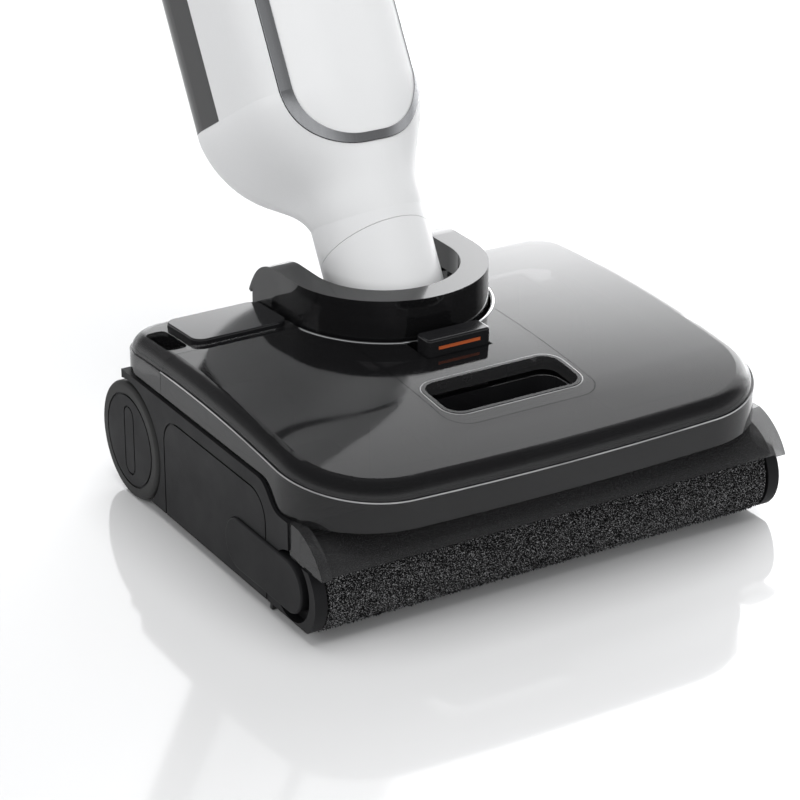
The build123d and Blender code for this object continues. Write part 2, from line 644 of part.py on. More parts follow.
with BuildPart() as dirty_tank:
    add(body_outer)
    add(door_prism(0, DOOR_BACK), mode=Mode.INTERSECT)
    with BuildPart(mode=Mode.PRIVATE) as dirty_room:
        add(body_form(4.6))
        add(door_prism(-TRIM - 2, DOOR_BACK - 2.5), mode=Mode.INTERSECT)
        add(block(-90, 90, -90, 90, 0, DOOR_TOP - 26), mode=Mode.INTERSECT)
    add(dirty_room.part, mode=Mode.SUBTRACT)
    add(block(-19, 19, -18, 8, DOOR_TOP - 26, DOOR_TOP + 5), mode=Mode.SUBTRACT)
    add(tank_trim.part, mode=Mode.SUBTRACT)
save(dirty_tank.part, "dirty_tank", UPPER)
save(block(-18.7, 18.7, -17.7, 7.7, DOOR_TOP - 26, DOOR_TOP - 7, 2), "tank_filter", UPPER)

CAP_RADIUS, CAP_HEIGHT = 13.0, 420.0


def plug(radius, y0, y1):
    """Round bar through the clean tank's back wall."""
    with BuildPart() as made:
        with BuildSketch(Plane.XZ.offset(-y0)):
            with Locations((0, CAP_HEIGHT)):
                Circle(radius)
        extrude(amount=y0 - y1)
    return made.part


with BuildPart() as clean_tank:
    add(body_outer)
    add(block(-80, 80, TANK_Y + GAP, 140, TANK_FOOT + GAP, TANK_TOP - GAP), mode=Mode.INTERSECT)
    with BuildPart(mode=Mode.PRIVATE) as clean_room:
        add(body_form(SHELL))
        add(
            block(-80, 80, TANK_Y + GAP + 2, 140, TANK_FOOT + GAP + 2.5, TANK_TOP - GAP - 2.5),
            mode=Mode.INTERSECT,
        )
    add(clean_room.part, mode=Mode.SUBTRACT)
    add(plug(CAP_RADIUS + GAP, 90, 120), mode=Mode.SUBTRACT)
save(clean_tank.part, "clean_tank", UPPER)
with BuildPart() as clean_tank_cap:
    add(plug(CAP_RADIUS, BODY_BACK - 4, BODY_BACK + 1.4))
    fillet(clean_tank_cap.edges().filter_by(GeomType.CIRCLE).sort_by(Axis.Y)[-1], 1)
    add(plug(CAP_RADIUS - 2.5, BODY_BACK - 5, BODY_BACK - 1), mode=Mode.SUBTRACT)
save(clean_tank_cap.part, "clean_tank_cap", UPPER)

# =================================================================================================
# Inside the body
# =================================================================================================
save(block(-28, 28, TANK_Y - 2, 80, 90, 124, 8), "battery_pack", UPPER)
save(post(0, 27, 66, 452, 9, 7.5), "air_duct", UPPER)
save(block(-44, -14, 17, TANK_Y - 2, 140, 190), "water_pump", UPPER)
save(block(14, 44, TANK_Y - 3.6, TANK_Y - 2, 150, 300), "main_board", UPPER)
save(post(0, 31, 455, 500, 36, 30), "suction_motor", UPPER)
save(post(0, 31, 460, 495, 26), "suction_fan", UPPER)

# =================================================================================================
# Display, latches, tube and grip
# =================================================================================================
with BuildPart() as display_lens:
    add(block(-22, 22, -8, 14, BODY_TOP - 1, BODY_TOP + 1.4, 8))
    fillet(display_lens.faces().sort_by(Axis.Z)[-1].edges(), 1)
save(display_lens.part, "display_lens", UPPER)


def latch(y0, y1, z0, outer_last):
    """Spring button in the body's wall, its outer edges softened."""
    with BuildPart() as made:
        with BuildSketch(Plane.XZ.offset(-y0)):
            with Locations((0, z0 + 5)):
                RectangleRounded(24, 10, 4)
        extrude(amount=y0 - y1)
        fillet(made.faces().sort_by(Axis.Y)[-1 if outer_last else 0].edges(), 0.8)
    return made.part


save(latch(BODY_FRONT - 1.5, BODY_FRONT + 5, 414, False), "dirty_tank_latch", UPPER)
save(latch(BODY_BACK - 5, BODY_BACK + 1.5, 458, True), "clean_tank_latch", UPPER)

with BuildPart() as tube_socket:
    add(post(0, TUBE_Y, BODY_TOP, BODY_TOP + 20, 19, TUBE_R))
    fillet(tube_socket.faces().sort_by(Axis.Z)[-1].edges().sort_by(SortBy.LENGTH)[-1], 3)
save(tube_socket.part, "tube_socket", UPPER)
save(post(0, TUBE_Y, 503, TUBE_TOP, TUBE_R, TUBE_R - 1.2), "tube", UPPER)

GRIP_FOOT = 846.0
with BuildPart() as grip_form:
    for height, y, half_x, half_y in (
        (GRIP_FOOT, TUBE_Y, 16.5, 17.5),
        (880, 36, 17, 19),
        (930, 31, 16, 17.5),
        (970, 22, 17, 19.5),
        (GRIP_TOP, 17, 18, 21),
    ):
        with BuildSketch(Plane.XY.offset(height)):
            with Locations((0, y)):
                Ellipse(half_x, half_y)
    loft()

BUTTONS = (("power_button", 913.3, 931.0), ("mode_button", 893.0, 910.7))
with BuildPart() as grip:
    add(grip_form.part)
    add(post(0, TUBE_Y, 800, TUBE_TOP, TUBE_R), mode=Mode.SUBTRACT)
    add(block(-7.3, 7.3, 0, 22, 892.7, 931.3), mode=Mode.SUBTRACT)
save(grip.part, "grip", UPPER)

for name, low, high in BUTTONS:
    with BuildPart() as button:
        add(grip_form.part)
        add(block(-7, 7, 0, 19, low, high), mode=Mode.INTERSECT)
    save(button.part, name, UPPER)

with BuildPart() as grip_cap:
    with BuildSketch(Plane.XY.offset(GRIP_TOP)):
        with Locations((0, 17)):
            Ellipse(18, 21)
    extrude(amount=7)
    fillet(grip_cap.faces().sort_by(Axis.Z)[-1].edges(), 5)
save(grip_cap.part, "grip_cap", UPPER)
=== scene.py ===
# %% [markdown]
# # A cordless wet dry floor scrubber
#
# The hard parts of this machine come from CAD as a fixed frame: the smoked cover, the cheeks, the neck, the
# tanks and the grip. This script gives each of them a finish, and models what CAD leaves plain: the fleece
# on the roller, the polished foot ring of the collar, painted highlights along the cover's bright edges, the
# cup under its finger window and the louvres of the air outlet.

# %% Load the frame
import json
import math
import random

import bmesh
import bpy
from mathutils import Matrix, Vector
from mathutils.bvhtree import BVHTree


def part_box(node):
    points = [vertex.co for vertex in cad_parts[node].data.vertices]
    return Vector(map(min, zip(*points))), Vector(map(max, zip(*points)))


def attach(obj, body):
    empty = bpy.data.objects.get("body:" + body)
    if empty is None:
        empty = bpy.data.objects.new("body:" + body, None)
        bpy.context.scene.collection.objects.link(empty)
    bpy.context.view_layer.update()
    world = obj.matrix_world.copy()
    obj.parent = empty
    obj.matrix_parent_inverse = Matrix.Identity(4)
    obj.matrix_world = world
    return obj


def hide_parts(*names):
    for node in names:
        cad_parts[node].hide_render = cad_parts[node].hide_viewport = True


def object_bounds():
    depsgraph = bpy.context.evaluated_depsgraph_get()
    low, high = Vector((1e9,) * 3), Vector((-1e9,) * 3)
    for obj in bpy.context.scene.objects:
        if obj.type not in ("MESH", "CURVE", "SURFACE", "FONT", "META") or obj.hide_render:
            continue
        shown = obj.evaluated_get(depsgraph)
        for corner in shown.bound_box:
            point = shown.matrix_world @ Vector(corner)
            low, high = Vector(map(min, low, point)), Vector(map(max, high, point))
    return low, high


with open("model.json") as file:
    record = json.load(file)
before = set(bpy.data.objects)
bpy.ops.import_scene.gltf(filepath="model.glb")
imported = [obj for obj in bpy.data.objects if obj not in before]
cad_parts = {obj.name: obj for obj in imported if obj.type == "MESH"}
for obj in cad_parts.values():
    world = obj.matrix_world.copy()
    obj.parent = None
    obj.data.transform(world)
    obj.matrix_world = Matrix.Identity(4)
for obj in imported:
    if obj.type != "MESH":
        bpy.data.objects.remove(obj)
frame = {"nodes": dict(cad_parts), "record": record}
cad_low, cad_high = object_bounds()
MM = 0.001

# %% [markdown]
# ## Measuring from the frame
# Every place in this script is worked out from a node's box, so nothing has to be fitted by eye. The
# roller's middle is the reference point of the floor head.

# %% Reference points
pile_low, pile_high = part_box("roller_pile")
roller = (pile_low + pile_high) / 2
ROLLER_R = (pile_high.z - pile_low.z) / 2
collar_low, collar_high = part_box("collar_flange")
COLLAR_R = (collar_high.x - collar_low.x) / 2
collar_middle = Vector((0, collar_low.y + COLLAR_R, collar_high.z))
print("roller middle", [round(c, 4) for c in roller], "radius", round(ROLLER_R, 4))

# %% [markdown]
# ## Camera
# A long lens from the front left, looking down by about a quarter of a right angle, flattens the head the
# way a catalogue picture does. The camera sits on a sphere round a point just above the roller, so its place
# is one direction and one distance.

# %% Camera
CAMERA_TURN, CAMERA_RISE = math.radians(-30.87), math.radians(24.61)
CAMERA_DISTANCE, LENS = 1.617, 135.0
aim = roller + Vector((-0.0208, 0.1, 0.0366))
back = Vector(
    (
        math.sin(CAMERA_TURN) * math.cos(CAMERA_RISE),
        -math.cos(CAMERA_TURN) * math.cos(CAMERA_RISE),
        math.sin(CAMERA_RISE),
    )
)
camera = bpy.data.objects.new("camera", bpy.data.cameras.new("camera"))
bpy.context.scene.collection.objects.link(camera)
camera.location = aim + back * CAMERA_DISTANCE
camera.rotation_euler = back.to_track_quat("Z", "Y").to_euler()
camera.data.lens = LENS
bpy.context.scene.camera = camera
print("camera at", [round(c, 3) for c in camera.location])

# %% [markdown]
# ## Floor
# The machine stands on a plain pale floor. It has a little polish, so the roller stands on its own faint
# reflection. One large square is enough, since nothing on the floor is modelled, and its far edge meets
# the bright horizon, where the two can't be told apart.

# %% Floor
FLOOR_HALF = 30.0
FLOOR_COLOUR = (0.82, 0.822, 0.826, 1)
FLOOR_ROUGHNESS, FLOOR_GLOSS = 0.07, 0.85
floor_mesh = bmesh.new()
bmesh.ops.create_grid(floor_mesh, x_segments=1, y_segments=1, size=FLOOR_HALF)
floor_data = bpy.data.meshes.new("studio_floor")
floor_mesh.to_mesh(floor_data)
floor_mesh.free()
floor = bpy.data.objects.new("studio_floor", floor_data)
bpy.context.scene.collection.objects.link(floor)
floor_finish = bpy.data.materials.new("studio_floor")
floor_finish.use_nodes = True
floor_shader = floor_finish.node_tree.nodes["Principled BSDF"]
floor_shader.inputs["Base Color"].default_value = FLOOR_COLOUR
floor_shader.inputs["Roughness"].default_value = FLOOR_ROUGHNESS
floor_shader.inputs["Specular IOR Level"].default_value = FLOOR_GLOSS
floor_data.materials.append(floor_finish)
print("floor", 2 * FLOOR_HALF, "m square")

# %% [markdown]
# ## Sky
# Gloss only shows what it reflects. This studio's sky is bright at the horizon and dark overhead, so a flat
# glossy top catches light while a rounded edge goes dark, which is what draws its shape. A wide glow low down
# behind and to the right gives the cover its slow sweep from dark to light. Panels with hard edges could do
# it too, but a smooth ramp over the direction leaves no rectangles in the gloss. Both ramps are added and
# drive the strength of one plain background.

# %% World
GLOW_FROM = Vector((0.75, 0.62, 0.22)).normalized()
HEIGHT_STOPS = [(0.1, 0.95), (0.47, 0.24), (0.72, 0.06)]
GLOW_STOPS = [(0.76, 0.1), (0.9, 1.7), (0.97, 5.0)]
world = bpy.data.worlds.new("studio")
bpy.context.scene.world = world
world.use_nodes = True
sky = world.node_tree
background = sky.nodes["Background"]
background.inputs["Color"].default_value = (0.985, 0.99, 1, 1)
direction = sky.nodes.new("ShaderNodeTexCoord")
split = sky.nodes.new("ShaderNodeSeparateXYZ")
sky.links.new(direction.outputs["Generated"], split.inputs["Vector"])


def ramp_of(tree, source, stops):
    """A grey ramp through (place, brightness) stops; brightness may pass one."""
    ramp = tree.nodes.new("ShaderNodeValToRGB")
    ramp.color_ramp.interpolation = "EASE"
    for i, (place, level) in enumerate(stops):
        stop = ramp.color_ramp.elements[i] if i < 2 else ramp.color_ramp.elements.new(place)
        stop.position, stop.color = place, (level, level, level, 1)
    tree.links.new(source, ramp.inputs["Fac"])
    return ramp.outputs["Color"]


facing = sky.nodes.new("ShaderNodeVectorMath")
facing.operation = "DOT_PRODUCT"
facing.inputs[1].default_value = GLOW_FROM
sky.links.new(direction.outputs["Generated"], facing.inputs[0])
total = sky.nodes.new("ShaderNodeMath")
total.operation = "ADD"
height_light = ramp_of(sky, split.outputs["Z"], HEIGHT_STOPS)
glow = ramp_of(sky, facing.outputs["Value"], GLOW_STOPS)
sky.links.new(height_light, total.inputs[0])
sky.links.new(glow, total.inputs[1])
sky.links.new(total.outputs["Value"], background.inputs["Strength"])
bpy.context.scene.view_settings.view_transform = "Standard"
print("sky from", HEIGHT_STOPS[0][1], "at the horizon to", HEIGHT_STOPS[-1][1], "overhead")

# %% [markdown]
# ## Soft lights
# Three large rectangular lights fill the shadows. They light the matt surfaces but are kept out of
# reflections, which belong to the sky.


# %% Lights
def softbox(name, place, aim_at, width, height, power):
    """A rectangular area light at a place, turned to face a point. It lights, but isn't mirrored."""
    data = bpy.data.lights.new(name, "AREA")
    data.shape, data.size, data.size_y, data.energy = "RECTANGLE", width, height, power
    lamp = bpy.data.objects.new(name, data)
    bpy.context.scene.collection.objects.link(lamp)
    lamp.location = place
    lamp.rotation_euler = (Vector(place) - aim_at).to_track_quat("Z", "Y").to_euler()
    lamp.visible_glossy = False


softbox("key_left", aim + Vector((-1.9, -0.4, 1.5)), aim, 1.2, 1.2, 12)
softbox("front_fill", aim + Vector((0.2, -2.4, 1.2)), aim, 1.6, 1.0, 10)
softbox("top_fill", aim + Vector((0, -0.1, 2.4)), aim, 2.0, 2.0, 41)

# %% [markdown]
# ## Finishes
# Each finish is one material: a Principled shader whose colour, roughness and relief come from noise at the
# scale of the real surface. The noise reads Object coordinates, so the pattern stays on the part when it
# moves. A value that is the same all over goes on the shader's own socket.


# %% Material helpers
def add_node(tree, kind, **values):
    """A node with its sockets set by name."""
    node = tree.nodes.new(kind)
    for name, value in values.items():
        node.inputs[name].default_value = value
    return node


def finish(name, colour, roughness, **sockets):
    """A material with constant sockets, and its tree and shader, ready for a pattern."""
    material = bpy.data.materials.new(name)
    material.use_nodes = True
    tree = material.node_tree
    shader = tree.nodes["Principled BSDF"]
    shader.inputs["Base Color"].default_value = (*colour, 1)
    shader.inputs["Roughness"].default_value = roughness
    for socket, value in sockets.items():
        shader.inputs[socket.replace("_", " ")].default_value = value
    return material, tree, shader


def noise(tree, scale, detail=3.0, stretch=(1, 1, 1)):
    """Noise on Object coordinates, stretched along an axis by a scale below one."""
    place = tree.nodes.new("ShaderNodeTexCoord")
    mapping = tree.nodes.new("ShaderNodeMapping")
    mapping.inputs["Scale"].default_value = stretch
    pattern = add_node(tree, "ShaderNodeTexNoise", Scale=scale, Detail=detail)
    tree.links.new(place.outputs["Object"], mapping.inputs["Vector"])
    tree.links.new(mapping.outputs["Vector"], pattern.inputs["Vector"])
    return pattern.outputs["Fac"]


def spread(tree, source, low, high, start=0.3, end=0.7):
    """Maps a pattern's middle range onto low to high."""
    ranger = add_node(
        tree, "ShaderNodeMapRange", **{"From Min": start, "From Max": end, "To Min": low, "To Max": high}
    )
    tree.links.new(source, ranger.inputs["Value"])
    return ranger.outputs["Result"]


def bump(tree, shader, source, depth, strength=0.4):
    """Adds relief of a real depth in metres."""
    relief = add_node(tree, "ShaderNodeBump", Strength=strength, Distance=depth)
    tree.links.new(source, relief.inputs["Height"])
    tree.links.new(relief.outputs["Normal"], shader.inputs["Normal"])


def tint(tree, shader, source, dark, light):
    """Colour that varies between two close shades."""
    ramp = tree.nodes.new("ShaderNodeValToRGB")
    ramp.color_ramp.elements[0].color = (*dark, 1)
    ramp.color_ramp.elements[1].color = (*light, 1)
    ramp.color_ramp.elements[0].position, ramp.color_ramp.elements[1].position = 0.3, 0.7
    tree.links.new(source, ramp.inputs["Fac"])
    tree.links.new(ramp.outputs["Color"], shader.inputs["Base Color"])


# %% [markdown]
# ## Smoked plastic
# The cover, the collar and the roller's shield are clear plastic with a dark dye. Glass with an absorbing
# volume would be the physical way, but on closed shells this thin a partly transparent dark gloss looks the
# same and renders fast. The dye is thinnest in the shield and deepest where the wall is thick. The thin dye's
# lighter grey also goes on the window lip, as a painted highlight along its rim.


# %% Smoked cover plastic
DYE_DRIFT = 1.25


def smoked_plastic(name, colour, alpha):
    """Clear plastic with a dark dye: glossy, and faintly see-through."""
    material, tree, shader = finish(name, colour, 0.1, Alpha=alpha, Specular_IOR_Level=0.5)
    cloud = noise(tree, 9.0, 2.0)
    tint(tree, shader, cloud, colour, tuple(c * DYE_DRIFT for c in colour))
    tree.links.new(spread(tree, noise(tree, 60.0), 0.05, 0.09), shader.inputs["Roughness"])
    return material


smoked = smoked_plastic("smoked_plastic", (0.007, 0.007, 0.0075), 0.8)
# Lighter and thinner smoke: the shield's own tint, and on the window lip a painted highlight.
smoked_thin_and_painted_lip_highlight = smoked_plastic("smoked_thin_and_painted_lip_highlight", (0.035, 0.035, 0.036), 0.62)
smoked_deep = smoked_plastic("smoked_deep", (0.007, 0.007, 0.0075), 0.93)


# %% [markdown]
# ## Moulded plastics
# Every moulding has a fine grain from its tool and a roughness that drifts slowly over the part. Black
# mouldings are almost black and take their shape from reflections; the white body is polished, so its grain
# is nearly nothing. Rubber, foam, the circuit board and the battery's wrap are made the same way with other
# colours and depths.


# %% Mouldings
def moulded(name, dark, light, roughness, grain=900.0, depth=0.00005, drift=0.05, **sockets):
    """Moulded plastic with a fine spark-eroded grain, its roughness drifting slowly across the part."""
    material, tree, shader = finish(name, dark, roughness, **sockets)
    tint(tree, shader, noise(tree, 14.0), dark, light)
    bump(tree, shader, noise(tree, grain, 2.0), depth, 0.5)
    patches = spread(tree, noise(tree, 40.0), roughness - drift, roughness + drift)
    tree.links.new(patches, shader.inputs["Roughness"])
    return material


black_matte = moulded(
    "black_matte", (0.008, 0.008, 0.009), (0.013, 0.013, 0.014), 0.5, Specular_IOR_Level=0.16
)
black_gloss = moulded(
    "black_gloss", (0.008, 0.008, 0.009), (0.014, 0.014, 0.015), 0.1,
    grain=30.0, depth=0.00001, drift=0.02, Specular_IOR_Level=0.4,
)
white_gloss = moulded(
    "white_gloss", (0.785, 0.79, 0.795), (0.8, 0.805, 0.81), 0.3,
    grain=260.0, depth=0.000004, drift=0.01, Specular_IOR_Level=0.4,
)
orange = moulded("orange_accent", (0.55, 0.11, 0.03), (0.63, 0.14, 0.04), 0.35)
rubber = moulded("rubber_black", (0.014, 0.014, 0.014), (0.024, 0.024, 0.023), 0.62, 500.0, 0.0001)
board = moulded("circuit_board", (0.01, 0.09, 0.04), (0.02, 0.13, 0.06), 0.35)
foam = moulded("filter_foam", (0.14, 0.14, 0.15), (0.26, 0.26, 0.27), 0.9, 300.0, 0.0006)
wrap = moulded("battery_wrap", (0.02, 0.03, 0.12), (0.03, 0.05, 0.17), 0.3)


# %% [markdown]
# ## Brushed metals
# The trim round the front tank, the handle tube and the steel inside are brushed. Noise that is drawn out
# along one axis gives the fine lines, both in the roughness and in a very shallow relief. An anisotropic
# shader would stretch the highlights further, but needs tangents that these meshes don't have.


# %% Brushed metals
LINE_SCALE, LINE_DEPTH = 900.0, 0.00003


def brushed(name, colour, roughness, stretch):
    """Metal brushed along one direction: noise drawn out into fine lines."""
    material, tree, shader = finish(name, colour, roughness, Metallic=1.0)
    lines = noise(tree, LINE_SCALE, 2.0, stretch)
    tree.links.new(spread(tree, lines, roughness - 0.06, roughness + 0.08), shader.inputs["Roughness"])
    bump(tree, shader, lines, LINE_DEPTH, 0.35)
    return material


silver = brushed("silver_trim", (0.34, 0.345, 0.355), 0.17, (1, 0.05, 0.05))
bright_edge = brushed("polished_edge", (0.55, 0.555, 0.56), 0.16, (1, 1, 0.2))
steel = brushed("steel", (0.62, 0.62, 0.63), 0.28, (0.05, 1, 1))
motor_steel = brushed("motor_steel", (0.4, 0.4, 0.42), 0.36, (0.05, 1, 1))
aluminium = brushed("tube_aluminium", (0.66, 0.67, 0.69), 0.3, (1, 0.06, 0.04))

# %% [markdown]
# ## Painting the frame
# The record says which material slot each CAD node has, so one table from slot to finish paints them all.
# Five nodes differ from their slot: the thin shield lets more light through, the window lip takes the same
# lighter, thinner plastic as a painted highlight along its rim, and the collar and the clean tank let less
# through.

# %% Paint the CAD nodes
FINISH = {
    "smoked_plastic": smoked,
    "black_matte": black_matte,
    "black_gloss": black_gloss,
    "white_gloss": white_gloss,
    "silver_trim": silver,
    "orange_accent": orange,
    "rubber_black": rubber,
    "steel": steel,
    "motor_steel": motor_steel,
    "tube_aluminium": aluminium,
    "circuit_board": board,
    "filter_foam": foam,
    "battery_wrap": wrap,
}
slot_of = {part["node"]: part["material_slot"] for part in frame["record"]["subparts"]}
for name, node in frame["nodes"].items():
    paint = FINISH.get(slot_of[name])
    if paint:
        node.data.materials.clear()
        node.data.materials.append(paint)
# The window lip's lighter plastic is a painted highlight along its rim.
for name in ("roller_shield", "window_lip"):
    frame["nodes"][name].data.materials[0] = smoked_thin_and_painted_lip_highlight
for name in ("collar", "collar_flange", "clean_tank"):
    frame["nodes"][name].data.materials[0] = smoked_deep
print("painted", len(frame["nodes"]), "nodes")


# %% [markdown]
# ## Making a piece
# A bmesh holds a shape while operators work on it. `settle` writes it to an object at the origin, gives it
# a material and makes it ride on a body.


# %% The settle helper
def settle(mesh, name, body, material, smooth=True):
    """Turns a bmesh into an object that rides on a body."""
    bmesh.ops.recalc_face_normals(mesh, faces=mesh.faces)
    for face in mesh.faces:
        face.smooth = smooth
    data = bpy.data.meshes.new(name)
    mesh.to_mesh(data)
    mesh.free()
    data.materials.append(material)
    piece = bpy.data.objects.new(name, data)
    bpy.context.scene.collection.objects.link(piece)
    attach(piece, body)
    print(name, len(data.polygons), "faces")
    return piece


# %% [markdown]
# ## Foot ring of the collar
# A polished ring finishes the cover where the collar stands in it, and follows the cover's crown. A small
# circle is spun round the collar's axis, and then each point is let down onto the cover, whose height is
# measured by a ray from above.

# %% Height of the cover
graph = bpy.context.evaluated_depsgraph_get()
lids = [BVHTree.FromObject(frame["nodes"][name], graph) for name in ("top_cover", "latch_panel")]
CROWN_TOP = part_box("latch_panel")[1].z


def cover_height(x, y):
    """Height of the cover's top at a place seen from above; over a pocket, the crown's own height."""
    hits = [lid.ray_cast(Vector((x, y, cad_high.z)), Vector((0, 0, -1)))[0] for lid in lids]
    return max((hit.z for hit in hits if hit), default=CROWN_TOP)


print("cover height over the roller", round(cover_height(0.1, roller.y + 0.03), 4))

# %% Collar foot
FOOT_GAP, FOOT_WIRE, FOOT_LIFT = 2.6 * MM, 0.8 * MM, 0.1 * MM
FOOT_R = COLLAR_R + FOOT_GAP
FOOT_START, FOOT_TURN = math.radians(2), math.radians(-168)
mesh = bmesh.new()
stand = Matrix.Translation((FOOT_R, 0, 0)) @ Matrix.Rotation(math.pi / 2, 4, "X")
bmesh.ops.create_circle(mesh, cap_ends=False, segments=10, radius=FOOT_WIRE, matrix=stand)
bmesh.ops.rotate(mesh, verts=mesh.verts, cent=(0, 0, 0), matrix=Matrix.Rotation(-FOOT_START, 3, "Z"))
bmesh.ops.spin(
    mesh, geom=mesh.verts[:] + mesh.edges[:], cent=(0, 0, 0), axis=(0, 0, 1), angle=FOOT_TURN, steps=72,
    use_merge=False, use_duplicate=False, dvec=(0, 0, 0), use_normal_flip=False,
)
bmesh.ops.holes_fill(mesh, edges=[edge for edge in mesh.edges if edge.is_boundary], sides=0)
for vert in mesh.verts:
    out = Vector((vert.co.x, vert.co.y, 0)).normalized() * (FOOT_R + FOOT_WIRE)
    spot = Vector((collar_middle.x, collar_middle.y, 0)) + out
    vert.co += Vector((collar_middle.x, collar_middle.y, cover_height(spot.x, spot.y) + FOOT_LIFT))
settle(mesh, "collar_foot", "cover", bright_edge)

# %% [markdown]
# ## Painted highlights on the edges
# A polished edge of smoked plastic gathers light, so the belt round the cover and the rim of the finger
# window show fine bright lines. These are painted highlights: each is a bead, a thin round bevel on a line of
# points, coloured light grey. The belt's line is already in the cover's mesh, as the convex edge between the
# ledge and the skirt, so it is picked out by its angle. The window's is a rectangle with its corners
# bevelled, let down onto the cover.

# %% The bead helper
BEAD_R = 0.4 * MM
# Painted highlight: the beads are light grey, varied a little by noise, standing in for the light a polished
# edge catches.
PAINTED_HIGHLIGHT_DARK, PAINTED_HIGHLIGHT_LIGHT = (0.22, 0.22, 0.225), (0.42, 0.42, 0.425)
painted_edge_highlight, tree, shader = finish("painted_edge_highlight", PAINTED_HIGHLIGHT_DARK, 0.25)
tint(tree, shader, noise(tree, 25.0), PAINTED_HIGHLIGHT_DARK, PAINTED_HIGHLIGHT_LIGHT)


def bead(points, name, body, closed):
    """A fine round bead along a line of points, coloured light grey as a painted highlight."""
    line = bpy.data.curves.new(name + "_line", "CURVE")
    line.dimensions, line.bevel_depth, line.bevel_resolution = "3D", BEAD_R, 1
    spline = line.splines.new("POLY")
    spline.points.add(len(points) - 1)
    spline.use_cyclic_u = closed
    for place, point in zip(points, spline.points):
        point.co = (*place, 1)
    carrier = bpy.data.objects.new(name + "_line", line)
    mesh = bmesh.new()
    mesh.from_mesh(bpy.data.meshes.new_from_object(carrier))
    bpy.data.objects.remove(carrier)
    bpy.data.curves.remove(line)
    bmesh.ops.holes_fill(mesh, edges=[edge for edge in mesh.edges if edge.is_boundary], sides=0)
    settle(mesh, name, body, painted_edge_highlight)


# %% Belt bead
shell = bmesh.new()
shell.from_mesh(frame["nodes"]["top_cover"].data)
bmesh.ops.remove_doubles(shell, verts=shell.verts, dist=0.01 * MM)
middle = Vector((0, (cad_low.y + collar_middle.y) / 2, 0))
BELT_REAR = collar_middle.y - 9 * MM
SHARP = 0.6  # radians between two faces
LEVEL, UPRIGHT, OUTWARD = 0.5, 0.3, 0.3  # limits on parts of a face's normal


def on_the_belt(edge):
    """True on the outer edge between the flat ledge and the upright skirt."""
    if len(edge.link_faces) != 2 or not edge.is_convex or edge.calc_face_angle(0) < SHARP:
        return False
    upper, side = sorted(edge.link_faces, key=lambda face: -face.normal.z)
    spot = (edge.verts[0].co + edge.verts[1].co) / 2
    outward = side.normal.dot((spot - middle).normalized())
    if upper.normal.z < LEVEL or abs(side.normal.z) > UPRIGHT:
        return False
    return outward > OUTWARD and spot.y < BELT_REAR


def turn_from_rear(place):
    """Angle round the cover's middle, from the rear, so that sorting walks the belt in order."""
    return math.atan2(place.x - middle.x, -(place.y - middle.y))


belt = {vert for edge in shell.edges if on_the_belt(edge) for vert in edge.verts}
belt_points = sorted((vert.co.copy() for vert in belt), key=turn_from_rear)
shell.free()
print("belt points", len(belt_points), "height", round(belt_points[0].z, 4))
# The belt's painted highlight.
bead(belt_points, "belt_painted_highlight", "cover", closed=False)

# %% Window rim
window_low, window_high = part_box("window_lip")
WINDOW_CORNER = 11 * MM
RIM_OUT = 0.5 * MM
BESIDE = 1.06  # the cover is measured this many times as far from the window's centre as its edge
mesh = bmesh.new()
bmesh.ops.create_grid(mesh, x_segments=1, y_segments=1, size=1)
bmesh.ops.scale(mesh, verts=mesh.verts, vec=((window_high - window_low) / 2 + Vector((RIM_OUT, RIM_OUT, 0))))
bmesh.ops.translate(mesh, verts=mesh.verts, vec=(window_low + window_high) / 2)
bmesh.ops.bevel(
    mesh, geom=mesh.verts[:], offset=WINDOW_CORNER, affect="VERTICES", segments=8, profile=0.5, material=-1
)
outline = [vert.co.copy() for vert in mesh.faces[:][0].verts]
mesh.free()
centre = (window_low + window_high) / 2
rim_points = []
for place in outline:
    outside = centre + (place - centre) * BESIDE
    rim_points.append((place.x, place.y, cover_height(outside.x, outside.y)))
# The window rim's painted highlight.
bead(rim_points, "window_rim_painted_highlight", "cover", closed=True)

# %% [markdown]
# ## Cup under the finger window
# The window opens into a shallow ribbed cup that keeps fingers out of the wet chamber. A rounded rectangle
# is extruded down and drawn in a little, as a moulded cup is, and given a wall.

# %% Window cup
CUP_DEPTH, CUP_WALL, CUP_DRAFT = 19 * MM, 1.2 * MM, 0.93
CUP_TOP = window_low.z - 0.3 * MM
mesh = bmesh.new()
bmesh.ops.create_grid(mesh, x_segments=1, y_segments=1, size=1)
bmesh.ops.scale(mesh, verts=mesh.verts, vec=((window_high - window_low) / 2 - Vector((MM, MM, 0))))
bmesh.ops.bevel(
    mesh, geom=mesh.verts[:], offset=WINDOW_CORNER, affect="VERTICES", segments=6, profile=0.5, material=-1
)
mouth = mesh.faces[:]
base = bmesh.ops.extrude_face_region(mesh, geom=mouth)["geom"]
base_verts = [item for item in base if isinstance(item, bmesh.types.BMVert)]
bmesh.ops.translate(mesh, verts=base_verts, vec=(0, 0, -CUP_DEPTH))
bmesh.ops.scale(mesh, verts=base_verts, vec=(CUP_DRAFT, CUP_DRAFT, 1))
bmesh.ops.delete(mesh, geom=mouth, context="FACES_ONLY")
bmesh.ops.recalc_face_normals(mesh, faces=mesh.faces)
bmesh.ops.solidify(mesh, geom=mesh.faces[:], thickness=CUP_WALL)
RIB_COUNT, RIB_WIDTH, RIB_HEIGHT = 7, 1.4 * MM, 7 * MM
INSIDE_CUP, RIB_SPAN = 0.86, 0.9
cup_half = (window_high - window_low) / 2 * INSIDE_CUP
